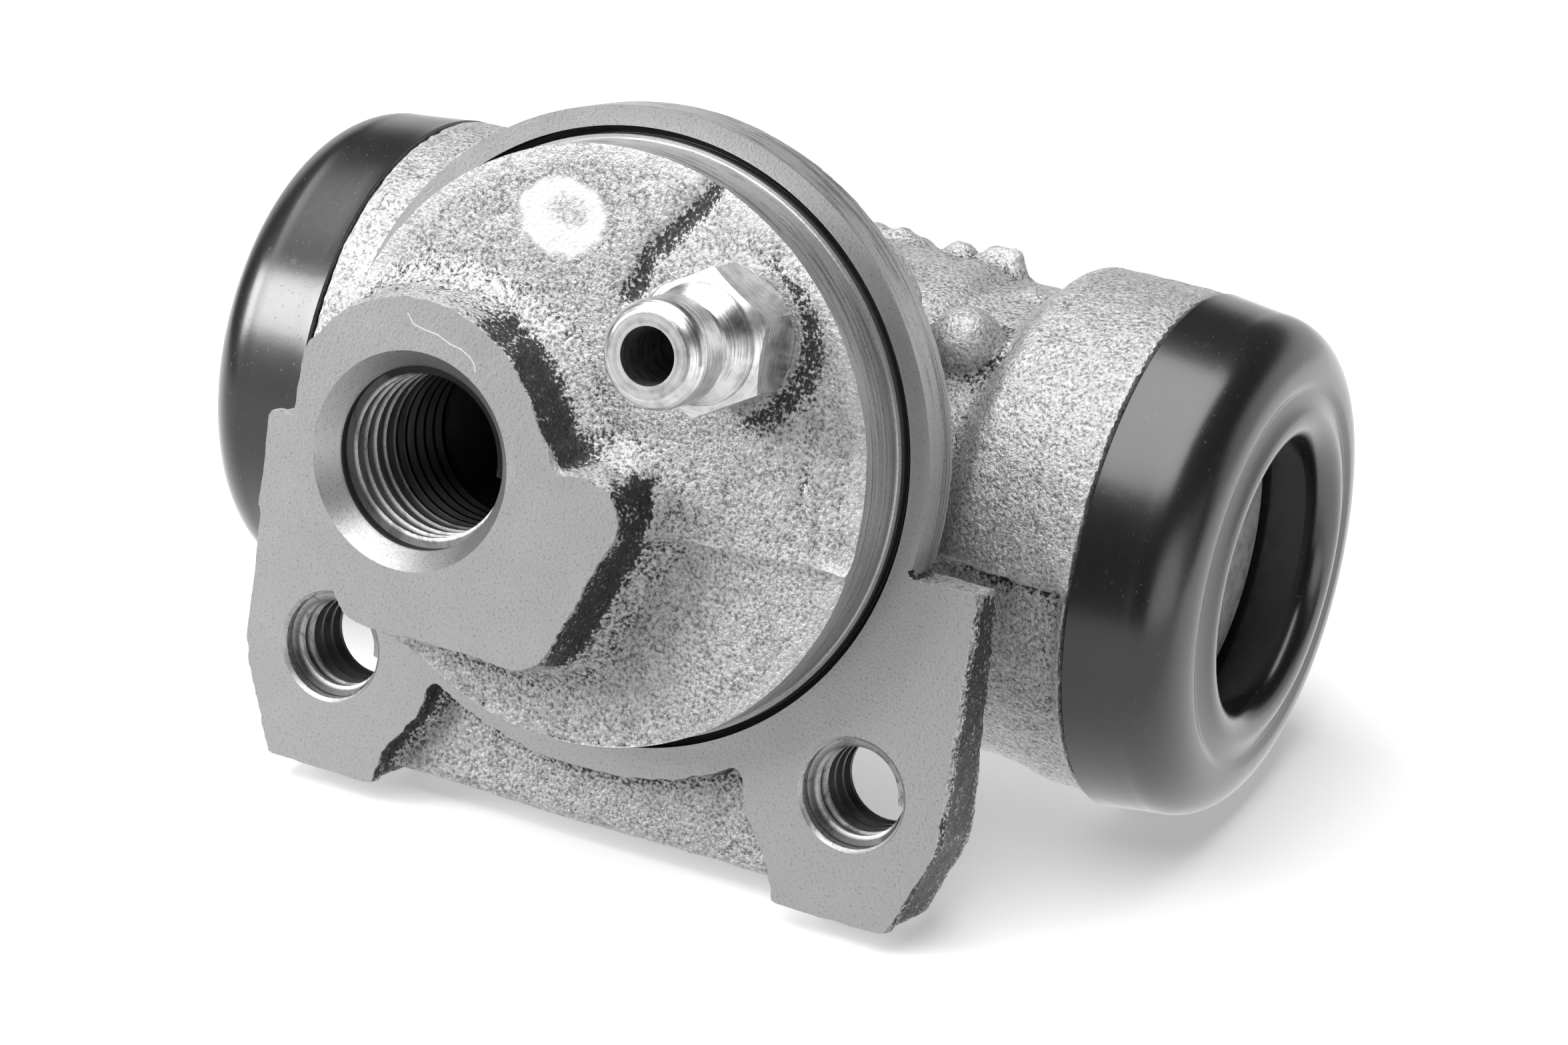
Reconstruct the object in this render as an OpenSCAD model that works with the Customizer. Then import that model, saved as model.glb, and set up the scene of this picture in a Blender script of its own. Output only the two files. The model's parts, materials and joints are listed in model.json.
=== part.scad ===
// Hydraulic wheel cylinder for a drum brake, as it comes off the shelf: an iron casting with
// a mounting flange, two pistons with their rubber cups, a spring between them, two dust
// boots and a bleed screw.
// X runs along the bore, Y points from the mounting face into the brake, Z is up.
// The origin is the centre of the locating pilot, on the mounting face.

/* [Barrel] */
// Bore diameter
bore_d = 20.64; // [19:0.02:22.5]
// Length of the casting along the bore
barrel_len = 52; // [48:0.5:62]
// Distance of the bore axis behind the mounting face
axis_back = 21.2; // [20:0.1:26]
// Distance of the bore axis, and of the parting plane, below the pilot axis
axis_drop = 3.6; // [1:0.1:5]
// Wall round the bore in the middle
middle_wall = 3.2; // [2.6:0.1:5]
// Half length of the middle
middle_half = 10.5; // [8:0.1:11.5]
// Wall round the bore at the waist on the upper half
waist_wall = 2.6; // [2:0.1:4]
// Wall round the bore at the waist on the lower half
waist_wall_low = 3.3; // [2:0.1:4]
// Wall of the spigot inside the boot
spigot_wall = 2.88; // [2.6:0.02:4]
// Length of the spigot that the boot grips
spigot_len = 1.7; // [1.6:0.1:3]
// Length of the collar on the upper half
collar_len_top = 6.7; // [5:0.1:7]
// Length of the collar on the lower half
collar_len_low = 2.8; // [2:0.1:4]
// Run of the blend from waist to collar on the upper half
blend_top = 2.6; // [1.5:0.1:2.8]
// Run of the blend from waist to collar on the lower half
blend_low = 3.8; // [3:0.1:5]
// Diameter of the cast knob beside the flange
knob_d = 4.2; // [3:0.1:5]
// Distance of the cast knob from the collar shoulder
knob_back = 10.9; // [10:0.1:12]
// Angle of the cast knob above the parting plane
knob_angle = 52; // [30:1:70]

/* [Flange] */
// Diameter of the pilot that enters the backing plate
pilot_d = 32.6; // [31.6:0.1:36]
// Height of the pilot ahead of the mounting face
pilot_h = 4.1; // [3:0.1:6]
// Height of the register land at the foot of the pilot
register_h = 0.4; // [0.3:0.05:1.5]
// Step of the register land outside the pilot
register_step = 0.25; // [0.1:0.05:0.5]
// Width of the relief groove round the pilot
relief_w = 0.45; // [0.3:0.05:1]
// Depth of the relief groove
relief_depth = 0.8; // [0.4:0.1:1.5]
// Width of the flange rim outside the groove
rim_w = 1.1; // [0.9:0.1:3]
// Thickness of the flange rim
rim_t = 3; // [2.2:0.1:4]
// Extra reach of the rim between the ears
lip_extra = 0.7; // [0:0.1:1.5]
// Radius of the stem behind the flange
stem_r = 15.4; // [14.6:0.1:16]
// Radius of the stem where it runs into the barrel
stem_tip_r = 11; // [9:0.1:12]

/* [Ears] */
// Distance between the mounting hole axes
hole_spacing = 32.9; // [31:0.1:36]
// Distance of the mounting holes below the pilot axis
hole_drop = 15.9; // [15:0.1:18]
// Thread diameter of the mounting holes
hole_thread_d = 6; // [5:1:6]
// Thread pitch of the mounting holes
hole_pitch = 1; // [0.8:0.05:1]
// Length of a mounting hole
hole_len = 6.2; // [5:0.1:6.6]
// Wall of the cast boss behind a mounting hole, round the thread core
hole_wall = 1.7; // [1.5:0.1:2]
// Metal from a mounting hole axis to the outer edge of its ear
ear_margin = 5.3; // [4.5:0.1:7]
// Metal from a mounting hole axis to the bottom of its ear
ear_foot = 7.1; // [6.6:0.1:9]
// Metal from a mounting hole axis to the inner edge of its ear
ear_inner = 3.7; // [3.5:0.1:5]
// Cut-off of the lower outer corner of an ear, across
ear_corner_w = 2.2; // [1:0.1:2.4]
// Cut-off of the lower outer corner of an ear, upwards
ear_corner_h = 5.4; // [3:0.1:6]
// Flare of the left ear's outer edge towards its top
left_flare = 0.6; // [0:0.1:1]
// Thickness of an ear at its top
ear_t_top = 3.2; // [2.5:0.1:4.5]
// Thickness of an ear at its bottom
ear_t_low = 6; // [4.6:0.1:7]
// Recess of the web between the ears behind the mounting face
web_recess = 1.5; // [0.8:0.1:2.5]
// Height of the lower edge of the web above the bottom of the ears
web_lift = 0.8; // [0.2:0.1:2]

/* [Inlet] */
// Distance of the inlet axis beside the pilot axis
port_x = 8.6; // [7.5:0.1:9]
// Distance of the inlet axis below the pilot axis
port_drop = 2.2; // [1:0.1:3]
// Thread diameter of the inlet
port_thread_d = 10; // [8:1:11]
// Thread pitch of the inlet
port_pitch = 1; // [0.75:0.05:1.25]
// Diameter of the countersunk mouth of the inlet
port_mouth_d = 12.3; // [11.6:0.1:13]
// Depth of the countersink of the inlet
port_sink = 2.7; // [1.6:0.1:3.2]
// Depth of the inlet thread below the boss face
port_depth = 12.5; // [10:0.1:14]
// Diameter of the passage from the inlet to the bore
passage_d = 2; // [1.5:0.1:2.5]
// Offset of the passage from the inlet axis, towards the middle of the bore
passage_shift = 3.2; // [2.5:0.1:3.2]
// Height of the machined boss face ahead of the mounting face
boss_h = 8; // [7:0.1:10]
// Radius of the round lobe of the boss at its face
boss_r = 8.65; // [8.2:0.05:9.2]
// Draft of the boss flanks, measured at the pilot face
boss_draft = 0.4; // [0.1:0.05:0.8]
// Blend at the foot of the boss
boss_foot = 1.2; // [0.6:0.1:1.6]
// Reach of the lower lobe of the boss beside the inlet axis
lobe_reach = 10.6; // [9.5:0.1:11]
// Drop of the lower lobe of the boss below the inlet axis
lobe_drop = 7.4; // [6.5:0.1:8]

/* [Bleed screw] */
// Distance of the bleed screw axis beside the pilot axis
bleed_x = 7.5; // [7:0.1:8]
// Distance of the bleed screw axis above the pilot axis
bleed_z = 7.9; // [7.4:0.1:8.3]
// Thread diameter of the bleed screw
bleed_thread_d = 6; // [5.5:0.1:6.4]
// Depth of the bleed screw hole behind the mounting face
bleed_depth = 6; // [4:0.1:7]
// Width of the hexagon across its flats
hex_af = 7; // [6.8:0.1:8]
// Height of the hexagon
hex_h = 4; // [3:0.1:5]
// Length of the nipple ahead of the hexagon
nipple_len = 5.7; // [5.4:0.1:9]
// Outer diameter of the nipple
nipple_d = 5.8; // [5.2:0.1:6]
// Diameter of the drilling in the nipple
nipple_bore_d = 3.1; // [1.5:0.1:3.2]

/* [Pistons and seals] */
// Length of a piston
piston_len = 12; // [11:0.1:13]
// Reach of a piston end beyond the collar shoulder
piston_reach = 1.7; // [1.6:0.1:3]
// How much further out the left piston stands than the right one
left_out = 0.85; // [0:0.05:1.5]
// Running clearance between piston and bore, on the radius
piston_clear = 0.03; // [0.02:0.01:0.05]
// Width of the nose that holds the boot lip
nose_w = 1; // [0.8:0.1:1.5]
// Depth of the nose below the piston, on the radius
nose_step = 0.82; // [0.5:0.02:1.2]
// Width of the groove for the boot lip
lip_groove_w = 1.2; // [1:0.1:1.6]
// Depth of the groove for the boot lip, below the nose
lip_groove_depth = 0.6; // [0.4:0.1:0.9]
// Length of a rubber cup
cup_len = 4.5; // [4:0.1:5]
// Thickness of the cup's base
cup_base = 1.8; // [1.4:0.1:2.2]
// Thickness of the cup's lip at its root
cup_lip = 1.9; // [1.5:0.1:2.2]
// Clearance of soft parts against their neighbours
soft_clear = 0.1; // [0.05:0.01:0.15]
// Sheet thickness of the spring seats
seat_t = 0.7; // [0.5:0.1:1]
// Wire diameter of the return spring
wire_d = 1.2; // [0.8:0.1:1.5]
// Number of spring turns
spring_turns = 6; // [3:1:7]

/* [Dust boots] */
// Thickness of the boot band outside the spigot
boot_wall = 1.6; // [1.2:0.05:2.4]
// Reach of the boot face beyond the collar shoulder
boot_reach = 6.3; // [6:0.1:9]
// Taper of the boot band towards the front, on the radius
boot_taper = 0.4; // [0.1:0.05:0.6]
// Radius of the boot's front shoulder
boot_round = 3.1; // [2:0.1:3.4]
// Thickness of the boot's front wall
boot_front = 2.2; // [2:0.1:2.4]
// Inset of the boot mouth inside the piston's nose, on the radius
mouth_inset = 1.67; // [1.2:0.01:1.9]
// Radius of the rolled bead round the boot mouth
bead_r = 1.25; // [0.9:0.05:1.4]
// Rise of the bead above the boot face
bead_rise = 0.3; // [0:0.05:0.6]
// Thickness of the boot's inner sleeve
sleeve_t = 1.3; // [1:0.1:1.5]

/* [Hidden] */
$fn = 64;
eps = 0.01;
over = 1;
bore_r = bore_d / 2;
middle_r = bore_r + middle_wall;
waist_r = bore_r + waist_wall;
waist_low_r = bore_r + waist_wall_low;
spigot_r = bore_r + spigot_wall;
collar_r = spigot_r + boot_wall;
barrel_half = barrel_len / 2;
shoulder_x = barrel_half - spigot_len;
parting_z = -axis_drop;
mouth_chamfer = 1.5;
mouth_back = 0.6;
grip_start = 0.3;
grip_groove_w = 0.8;
grip_groove_depth = 0.5;
pilot_r = pilot_d / 2;
register_r = pilot_r + register_step;
relief_r = register_r + relief_w;
rim_r = relief_r + rim_w;
edge = 0.25;
stem_fillet = 1.2;
stem_gap = 5;
stem_len = axis_back - stem_gap;
hole_x = hole_spacing / 2;
hole_z = -hole_drop;
hole_r = (hole_thread_d - hole_pitch) / 2;
hole_flare = 0.2;
hole_mouth_r = hole_thread_d / 2 + hole_flare;
ear_x = hole_x + ear_margin;
ear_z = hole_z - ear_foot;
ear_in_x = hole_x - ear_inner;
port_z = -port_drop;
port_r = (port_thread_d - port_pitch) / 2;
port_mouth_r = port_mouth_d / 2;
drill_tip = 59;
bleed_clear = 0.05;
bleed_r = bleed_thread_d / 2;
bleed_boss_wall = 2;
bleed_boss_r = bleed_r + bleed_boss_wall;
hex_gap = 0.1;
hex_seat = pilot_h + hex_gap;
hex_top = hex_seat + hex_h;
seat_tip = 1.6;
piston_r = bore_r - piston_clear;
nose_r = piston_r - nose_step;
lip_groove_r = nose_r - lip_groove_depth;
piston_end = shoulder_x + piston_reach;
piston_start = piston_end - piston_len;
lip_x0 = piston_end - nose_w - lip_groove_w;
lip_x1 = piston_end - nose_w;
cup_start = piston_start - soft_clear - cup_len;
cup_floor = piston_start - soft_clear - cup_base;
seat_play = 0.4;
seat_r = bore_r - cup_lip - 2 * soft_clear - seat_play;
spring_r = seat_r - seat_t - wire_d / 2 - seat_play;
spring_half = cup_floor - soft_clear - seat_t - soft_clear;
spring_sides = 8;
spring_steps = 20;
boot_r = collar_r;
boot_end = shoulder_x + boot_reach;
mouth_r = nose_r - mouth_inset;
sleeve_lead = 0.4;

// Solid of revolution about the pilot axis; the outline is [radius, height ahead of the face].
module turned_on_pilot() {
    rotate([90, 0, 0]) rotate_extrude() children();
}

// Solid of revolution about the bore axis; the outline is [radius, x].
module turned_on_bore() {
    translate([0, axis_back, parting_z])
        rotate([0, 90, 0]) rotate_extrude() children();
}

// Extrusion of an [x, z] outline from depth y0 to depth y1 behind the mounting face.
module along_y(y0, y1) {
    translate([0, y1, 0]) rotate([90, 0, 0]) linear_extrude(y1 - y0) children();
}

// The part at the right end, or its mirror image at the left end.
module at_end(side) {
    if (side > 0) children();
    else mirror([1, 0, 0]) children();
}

// How much further out the pieces of one end stand.
function stand(side) = side > 0 ? 0 : left_out;

// Points of a smooth step from radius r0 at x0 to radius r1 at x1.
function smooth_step(r0, x0, r1, x1, n = 10) =
    [for (i = [0:n]) [r0 + (r1 - r0) * (1 - cos(180 * i / n)) / 2, x0 + (x1 - x0) * i / n]];

// Points of an arc about [cx, cy].
function arc(cx, cy, r, a0, a1, n = 10) =
    [for (i = [0:n]) let (a = a0 + (a1 - a0) * i / n) [cx + r * cos(a), cy + r * sin(a)]];

// Half outline of the barrel with one waist radius, collar length and blend.
module barrel_outline(waist, collar_len, blend) {
    collar_x = shoulder_x - collar_len;
    middle_blend = 2;
    grip_x = shoulder_x + grip_start;
    chamfer = 0.3;
    polygon(concat(
        [[0, 0], [middle_r, 0]],
        smooth_step(middle_r, middle_half, waist, middle_half + middle_blend),
        smooth_step(waist, collar_x - blend, collar_r, collar_x),
        [
            [collar_r, shoulder_x],
            [spigot_r, shoulder_x],
            [spigot_r, grip_x],
            [spigot_r - grip_groove_depth, grip_x],
            [spigot_r - grip_groove_depth, grip_x + grip_groove_w],
            [spigot_r, grip_x + grip_groove_w],
            [spigot_r, barrel_half - chamfer],
            [spigot_r - chamfer, barrel_half],
            [0, barrel_half],
        ]
    ));
}

// Barrel: the two half moulds meet on the parting plane and differ in their collars.
module barrel() {
    big = 2 * barrel_len;
    halves = [
        [0, waist_r, collar_len_top, blend_top],
        [-big, waist_low_r, collar_len_low, blend_low],
    ];
    for (half = halves) {
        intersection() {
            for (side = [-1, 1]) {
                at_end(side) turned_on_bore() barrel_outline(half[1], half[2], half[3]);
            }
            translate([-big / 2, -big / 2, parting_z + half[0]]) cube(big);
        }
    }
}

// Flange rim, relief groove, register land and pilot on one turned outline, with the stem
// that runs back into the barrel.
module flange() {
    turned_on_pilot() polygon(concat(
        [
            [0, -stem_len],
            [stem_tip_r, -stem_len],
        ],
        arc(stem_r + stem_fillet, -rim_t - stem_fillet, stem_fillet, 180, 90, 6),
        [
            [rim_r - 2 * edge, -rim_t],
            [rim_r, -rim_t + 2 * edge],
            [rim_r, -edge],
            [rim_r - edge, 0],
            [relief_r, 0],
            [relief_r, -relief_depth],
            [register_r, -relief_depth],
            [register_r, register_h - edge],
            [pilot_r, register_h],
            [pilot_r, pilot_h - edge],
            [pilot_r - edge, pilot_h],
            [0, pilot_h],
        ]
    ));
}

// Section of the ears: thin at the parting plane and thicker towards the bottom.
module ear_wedge() {
    reach = ear_x + left_flare + over;
    translate([-reach, 0, 0]) rotate([90, 0, 90]) linear_extrude(2 * reach)
        polygon([[0, parting_z], [ear_t_top, parting_z], [ear_t_low, ear_z], [0, ear_z]]);
}

// Outline of one ear on the mounting face; its inner edge spreads towards the rim.
module ear_outline(side) {
    toe_w = 0.4;
    toe_h = 2;
    calf_w = 2.2;
    calf_h = 4.4;
    root_w = 3.2;
    root_x = ear_in_x - root_w;
    root_z = -sqrt(pow(rim_r + lip_extra / 2, 2) - pow(root_x, 2));
    polygon([
        [stem_r, parting_z],
        [ear_x + (side > 0 ? 0 : left_flare), parting_z],
        [ear_x, ear_z + ear_corner_h],
        [ear_x - ear_corner_w, ear_z],
        [ear_in_x, ear_z],
        [ear_in_x - toe_w, ear_z + toe_h],
        [ear_in_x - calf_w, ear_z + calf_h],
        [root_x, root_z],
        [stem_r / 2, -stem_r / 2],
    ]);
}

// Both ears, the bosses behind their holes, the lip of the rim between them and the recessed web.
module ears() {
    for (side = [-1, 1]) {
        along_y(ear_t_top, hole_len) translate([side * hole_x, hole_z]) circle(hole_r + hole_wall);
    }
    intersection() {
        ear_wedge();
        union() {
            for (side = [-1, 1]) at_end(side) along_y(0, ear_t_low) ear_outline(side);
            along_y(0, rim_t) intersection() {
                circle(rim_r + lip_extra);
                translate([-hole_x, ear_z]) square([hole_spacing, hole_drop - axis_drop]);
            }
            along_y(web_recess, ear_t_low) translate([-hole_x, ear_z + web_lift])
                square([hole_spacing, ear_foot + ear_inner]);
        }
    }
}

// One lobe of the inlet boss: a drafted post on a spreading foot.
module boss_lobe(x, z, r, foot) {
    translate([x, -pilot_h, z]) rotate([90, 0, 0]) {
        if (foot) cylinder(h = boss_foot, r1 = r + boss_draft + boss_foot, r2 = r + boss_draft);
        else cylinder(h = boss_h - pilot_h, r1 = r + boss_draft, r2 = r);
    }
}

// Inlet boss: a round lobe at the thread and a lower lobe beside it, both within the pilot.
module inlet_boss() {
    swell = 0.25;
    swell_drop = 0.7;
    corner_r = 2.3;
    slant = 3;
    inner_r = 5.1;
    inner_x = 1.1;
    inner_drop = 4.3;
    intersection() {
        union() {
            for (foot = [false, true]) {
                boss_lobe(-port_x, port_z, boss_r, foot);
                boss_lobe(-port_x, port_z - swell_drop, boss_r + swell, foot);
                hull($fn = 32) {
                    boss_lobe(-port_x + lobe_reach, port_z - swell_drop, corner_r, foot);
                    boss_lobe(-port_x + lobe_reach - slant, port_z - lobe_drop, corner_r, foot);
                    boss_lobe(-port_x + inner_x, port_z - inner_drop, inner_r, foot);
                }
            }
        }
        turned_on_pilot() translate([0, pilot_h - over]) square([pilot_r - edge, boss_h]);
    }
}

// Cast post behind the flange that holds the bleed screw, with a rounded end.
module bleed_boss() {
    translate([bleed_x, bleed_depth + seat_tip, bleed_z]) {
        sphere(bleed_boss_r);
        rotate([90, 0, 0]) cylinder(h = bleed_depth + seat_tip - edge, r = bleed_boss_r);
    }
}

// Cast knob on the waist, between the flange and the collar.
module cast_knob() {
    rise = 0.4;
    root = 3;
    translate([shoulder_x - knob_back, axis_back, parting_z]) rotate([-knob_angle, 0, 0])
        translate([0, -waist_r - rise, 0]) {
            sphere(d = knob_d);
            rotate([-90, 0, 0]) cylinder(h = root, d = knob_d);
        }
}

// Bore with a wide chamfer at each mouth, where the lip of the boot moves.
module bore_cut() {
    turned_on_bore() translate([0, -barrel_half - over]) square([bore_r, barrel_len + 2 * over]);
    for (side = [-1, 1]) at_end(side) turned_on_bore() polygon([
        [0, lip_x0 - mouth_back],
        [bore_r, lip_x0 - mouth_back],
        [bore_r + mouth_chamfer, barrel_half],
        [bore_r + mouth_chamfer, barrel_half + over],
        [0, barrel_half + over],
    ]);
}

// Threaded inlet: countersink, thread core, drill point and the passage to the bore, which is
// offset so that it opens between the cups.
module inlet_cut() {
    tip = port_r / tan(drill_tip);
    translate([-port_x, 0, port_z]) turned_on_pilot() polygon([
        [0, boss_h + over],
        [port_mouth_r + over, boss_h + over],
        [port_mouth_r, boss_h],
        [port_r, boss_h - port_sink],
        [port_r, boss_h - port_depth],
        [0, boss_h - port_depth - tip],
    ]);
    translate([-port_x + passage_shift, axis_back, port_z]) rotate([90, 0, 0])
        cylinder(h = axis_back + boss_h - port_depth + edge, d = passage_d);
}

// Bleed screw hole with its conical seat, and the drilling that meets the bore near its top.
module bleed_cut() {
    seat_depth = bleed_depth + seat_tip;
    drilling_d = 1.5;
    below_top = 2.9;
    translate([bleed_x, 0, bleed_z]) turned_on_pilot() polygon([
        [0, pilot_h + over],
        [bleed_r + bleed_clear, pilot_h + over],
        [bleed_r + bleed_clear, -bleed_depth],
        [0, -seat_depth - bleed_clear],
    ]);
    aim_y = axis_back - bleed_depth;
    aim_z = bleed_z - parting_z - bore_r + below_top;
    translate([bleed_x, bleed_depth, bleed_z])
        rotate([-90 - atan2(aim_z, aim_y), 0, 0])
            cylinder(h = aim_y, d = drilling_d);
}

// Two threaded mounting holes, countersunk on the mounting face.
module mounting_holes_cut() {
    sink = hole_mouth_r - hole_r;
    for (side = [-1, 1]) {
        translate([side * hole_x, 0, hole_z]) turned_on_pilot() polygon([
            [0, over],
            [hole_mouth_r + over, over],
            [hole_r, -sink],
            [hole_r, -hole_len - over],
            [0, -hole_len - over],
        ]);
    }
}

// The one-piece iron casting with its machined faces and holes.
module body() {
    color("silver") difference() {
        union() {
            barrel();
            flange();
            ears();
            inlet_boss();
            bleed_boss();
            cast_knob();
        }
        bore_cut();
        inlet_cut();
        bleed_cut();
        mounting_holes_cut();
    }
}

// Bleed screw: hexagon, hose nipple, shank with a conical seat, and its drilling.
module bleed_screw() {
    corner_r = hex_af / 2 / cos(30);
    hex_edge = 0.5;
    hex_foot = 1.1;
    groove_w = 1.1;
    groove_depth = 0.55;
    groove_bevel = 0.4;
    collar_w = 1.4;
    collar_step = 0.3;
    tip_round = 1;
    tip_step = 0.65;
    nipple_r = nipple_d / 2;
    neck_r = nipple_r - groove_depth;
    groove_end = hex_top + collar_w + groove_w;
    end_h = hex_top + nipple_len;
    shank_end = -bleed_depth;
    blind = 2.4;
    cross_d = 1.4;
    color("gainsboro") translate([bleed_x, 0, bleed_z]) difference() {
        union() {
            intersection() {
                rotate([90, 0, 0]) translate([0, 0, hex_seat]) rotate(30)
                    cylinder(h = hex_h, r = corner_r, $fn = 6);
                turned_on_pilot() polygon([
                    [0, hex_seat],
                    [corner_r - hex_edge, hex_seat],
                    [corner_r, hex_seat + hex_foot],
                    [corner_r, hex_top - hex_edge],
                    [corner_r - 1.6 * hex_edge, hex_top],
                    [0, hex_top],
                ]);
            }
            turned_on_pilot() polygon(concat(
                [
                    [0, shank_end - seat_tip],
                    [bleed_r, shank_end],
                    [bleed_r, hex_seat + eps],
                    [nipple_r + collar_step, hex_seat + eps],
                    [nipple_r + collar_step, hex_top + collar_step],
                    [neck_r, hex_top + collar_w],
                    [neck_r, groove_end],
                    [nipple_r, groove_end + groove_bevel],
                ],
                arc(nipple_r - tip_round, end_h - tip_round, tip_round, 0, 70, 6),
                [[nipple_r - tip_step, end_h], [0, end_h]]
            ));
        }
        turned_on_pilot() translate([0, shank_end + blind])
            square([nipple_bore_d / 2, end_h - shank_end]);
        translate([0, bleed_depth - blind, 0]) cylinder(h = 3 * bleed_r, d = cross_d, center = true);
    }
}

// Piston with a flat end face, a nose and a groove for the lip of the boot.
module piston(side) {
    chamfer = 0.5;
    bevel = 0.3;
    color("lightsteelblue") at_end(side) translate([stand(side), 0, 0]) turned_on_bore() polygon([
        [0, piston_start],
        [piston_r - chamfer, piston_start],
        [piston_r, piston_start + chamfer],
        [piston_r, lip_x0 - bevel],
        [piston_r - bevel, lip_x0],
        [lip_groove_r, lip_x0],
        [lip_groove_r, lip_x1],
        [nose_r, lip_x1],
        [nose_r, piston_end - chamfer / 2],
        [nose_r - chamfer / 2, piston_end],
        [0, piston_end],
    ]);
}

// Rubber cup: a flat base against the piston and a lip that opens towards the fluid.
module cup_seal(side) {
    cup_r = bore_r - soft_clear;
    cup_end = piston_start - soft_clear;
    lip_end = cup_lip / 2;
    heel = 0.6;
    color("dimgray") at_end(side) translate([stand(side), 0, 0]) turned_on_bore() polygon([
        [0, cup_floor],
        [cup_r - cup_lip, cup_floor],
        [cup_r - lip_end, cup_start],
        [cup_r, cup_start],
        [cup_r, cup_end - heel],
        [cup_r - heel, cup_end],
        [0, cup_end],
    ]);
}

// Pressed steel seat that holds the spring in the hollow of the cup.
module spring_seat(side) {
    face = cup_floor - soft_clear;
    wall = 1.8;
    color("goldenrod") at_end(side) translate([stand(side), 0, 0]) turned_on_bore() polygon([
        [wire_d, face],
        [wire_d, face - seat_t],
        [seat_r - seat_t, face - seat_t],
        [seat_r - seat_t, face - wall],
        [seat_r, face - wall],
        [seat_r, face],
    ]);
}

// Helical return spring, swept as rings of points along the coil.
module return_spring() {
    count = spring_turns * spring_steps;
    run = 2 * spring_half + left_out - wire_d;
    start = -spring_half - left_out + wire_d / 2;
    rings = [for (i = [0:count]) let (a = 360 * i / spring_steps) [
        for (j = [0:spring_sides - 1]) let (b = 360 * j / spring_sides, r = spring_r + wire_d / 2 * cos(b))
            [start + run * i / count + wire_d / 2 * sin(b), r * cos(a), r * sin(a)]
    ]];
    points = [for (ring = rings) for (p = ring) p];
    walls = [for (i = [0:count - 1]) for (j = [0:spring_sides - 1])
        let (k = (j + 1) % spring_sides, m = i * spring_sides, n = m + spring_sides)
            [m + j, m + k, n + k, n + j]];
    ends = [
        [for (j = [spring_sides - 1:-1:0]) j],
        [for (j = [0:spring_sides - 1]) count * spring_sides + j],
    ];
    color("darkgray") translate([0, axis_back, parting_z]) polyhedron(points, concat(walls, ends));
}

// Dust boot: a band on the spigot, a rounded shoulder, a rolled bead round the mouth and a
// sleeve that leads back to the lip in the piston groove.
module dust_boot(side) {
    band_in = spigot_r + soft_clear;
    band_x = shoulder_x + soft_clear / 2;
    grip_x = shoulder_x + grip_start + soft_clear;
    grip_end = grip_x + grip_groove_w - 2 * soft_clear;
    grip_in = band_in - grip_groove_depth + soft_clear;
    hollow_step = 0.5;
    hollow_round = 1.6;
    out = stand(side);
    front_x = boot_end + out;
    hollow_x = front_x - boot_front;
    hollow_r = band_in - hollow_step;
    fold = 0.6;
    fold_r = mouth_r + sleeve_t;
    sleeve_r = nose_r + soft_clear;
    sleeve_x = piston_end + sleeve_lead + out;
    lip_start = lip_x0 + out;
    lip_end = lip_x1 + out;
    lip_bevel = 0.3;
    lip_in = lip_groove_r + soft_clear;
    line_w = 0.3;
    line_r = mouth_r + 2 * bead_r + line_w;
    bead_x = front_x + bead_rise - bead_r;
    color("#222222") at_end(side) turned_on_bore() polygon(concat(
        [
            [band_in, band_x],
            [boot_r, band_x],
        ],
        arc(boot_r - boot_taper - boot_round, front_x - boot_round, boot_round, 0, 90),
        [
            [line_r + line_w, front_x],
            [line_r, front_x - line_w],
        ],
        arc(mouth_r + bead_r, bead_x, bead_r, 60, 180, 8),
        [
            [mouth_r, bead_x - sleeve_lead],
            [sleeve_r, sleeve_x],
            [sleeve_r, lip_end - soft_clear],
            [lip_in, lip_end - soft_clear],
            [lip_in, lip_start + soft_clear],
            [sleeve_r + lip_bevel, lip_start + soft_clear],
            [sleeve_r + sleeve_t - lip_bevel, lip_end],
            [sleeve_r + sleeve_t, sleeve_x],
            [fold_r + fold, hollow_x - fold],
            [fold_r + 2 * fold, hollow_x],
            [hollow_r - hollow_round, hollow_x],
            [hollow_r, hollow_x - hollow_round],
            [hollow_r, barrel_half + soft_clear + hollow_step],
            [band_in, barrel_half + soft_clear],
            [band_in, grip_end],
            [grip_in, grip_end],
            [grip_in, grip_x],
            [band_in, grip_x],
        ]
    ));
}

body();
bleed_screw();
piston(-1);  // piston_left
piston(1);  // piston_right
cup_seal(-1);  // cup_seal_left
cup_seal(1);  // cup_seal_right
spring_seat(-1);  // spring_seat_left
spring_seat(1);  // spring_seat_right
return_spring();
dust_boot(-1);  // dust_boot_left
dust_boot(1);  // dust_boot_right
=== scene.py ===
"""Dresses the solids of a drum-brake wheel cylinder: a sand-cast iron body with machined faces and
threads, moulded rubber boots, a plated bleed screw and turned pistons, on a pale studio floor."""

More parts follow.
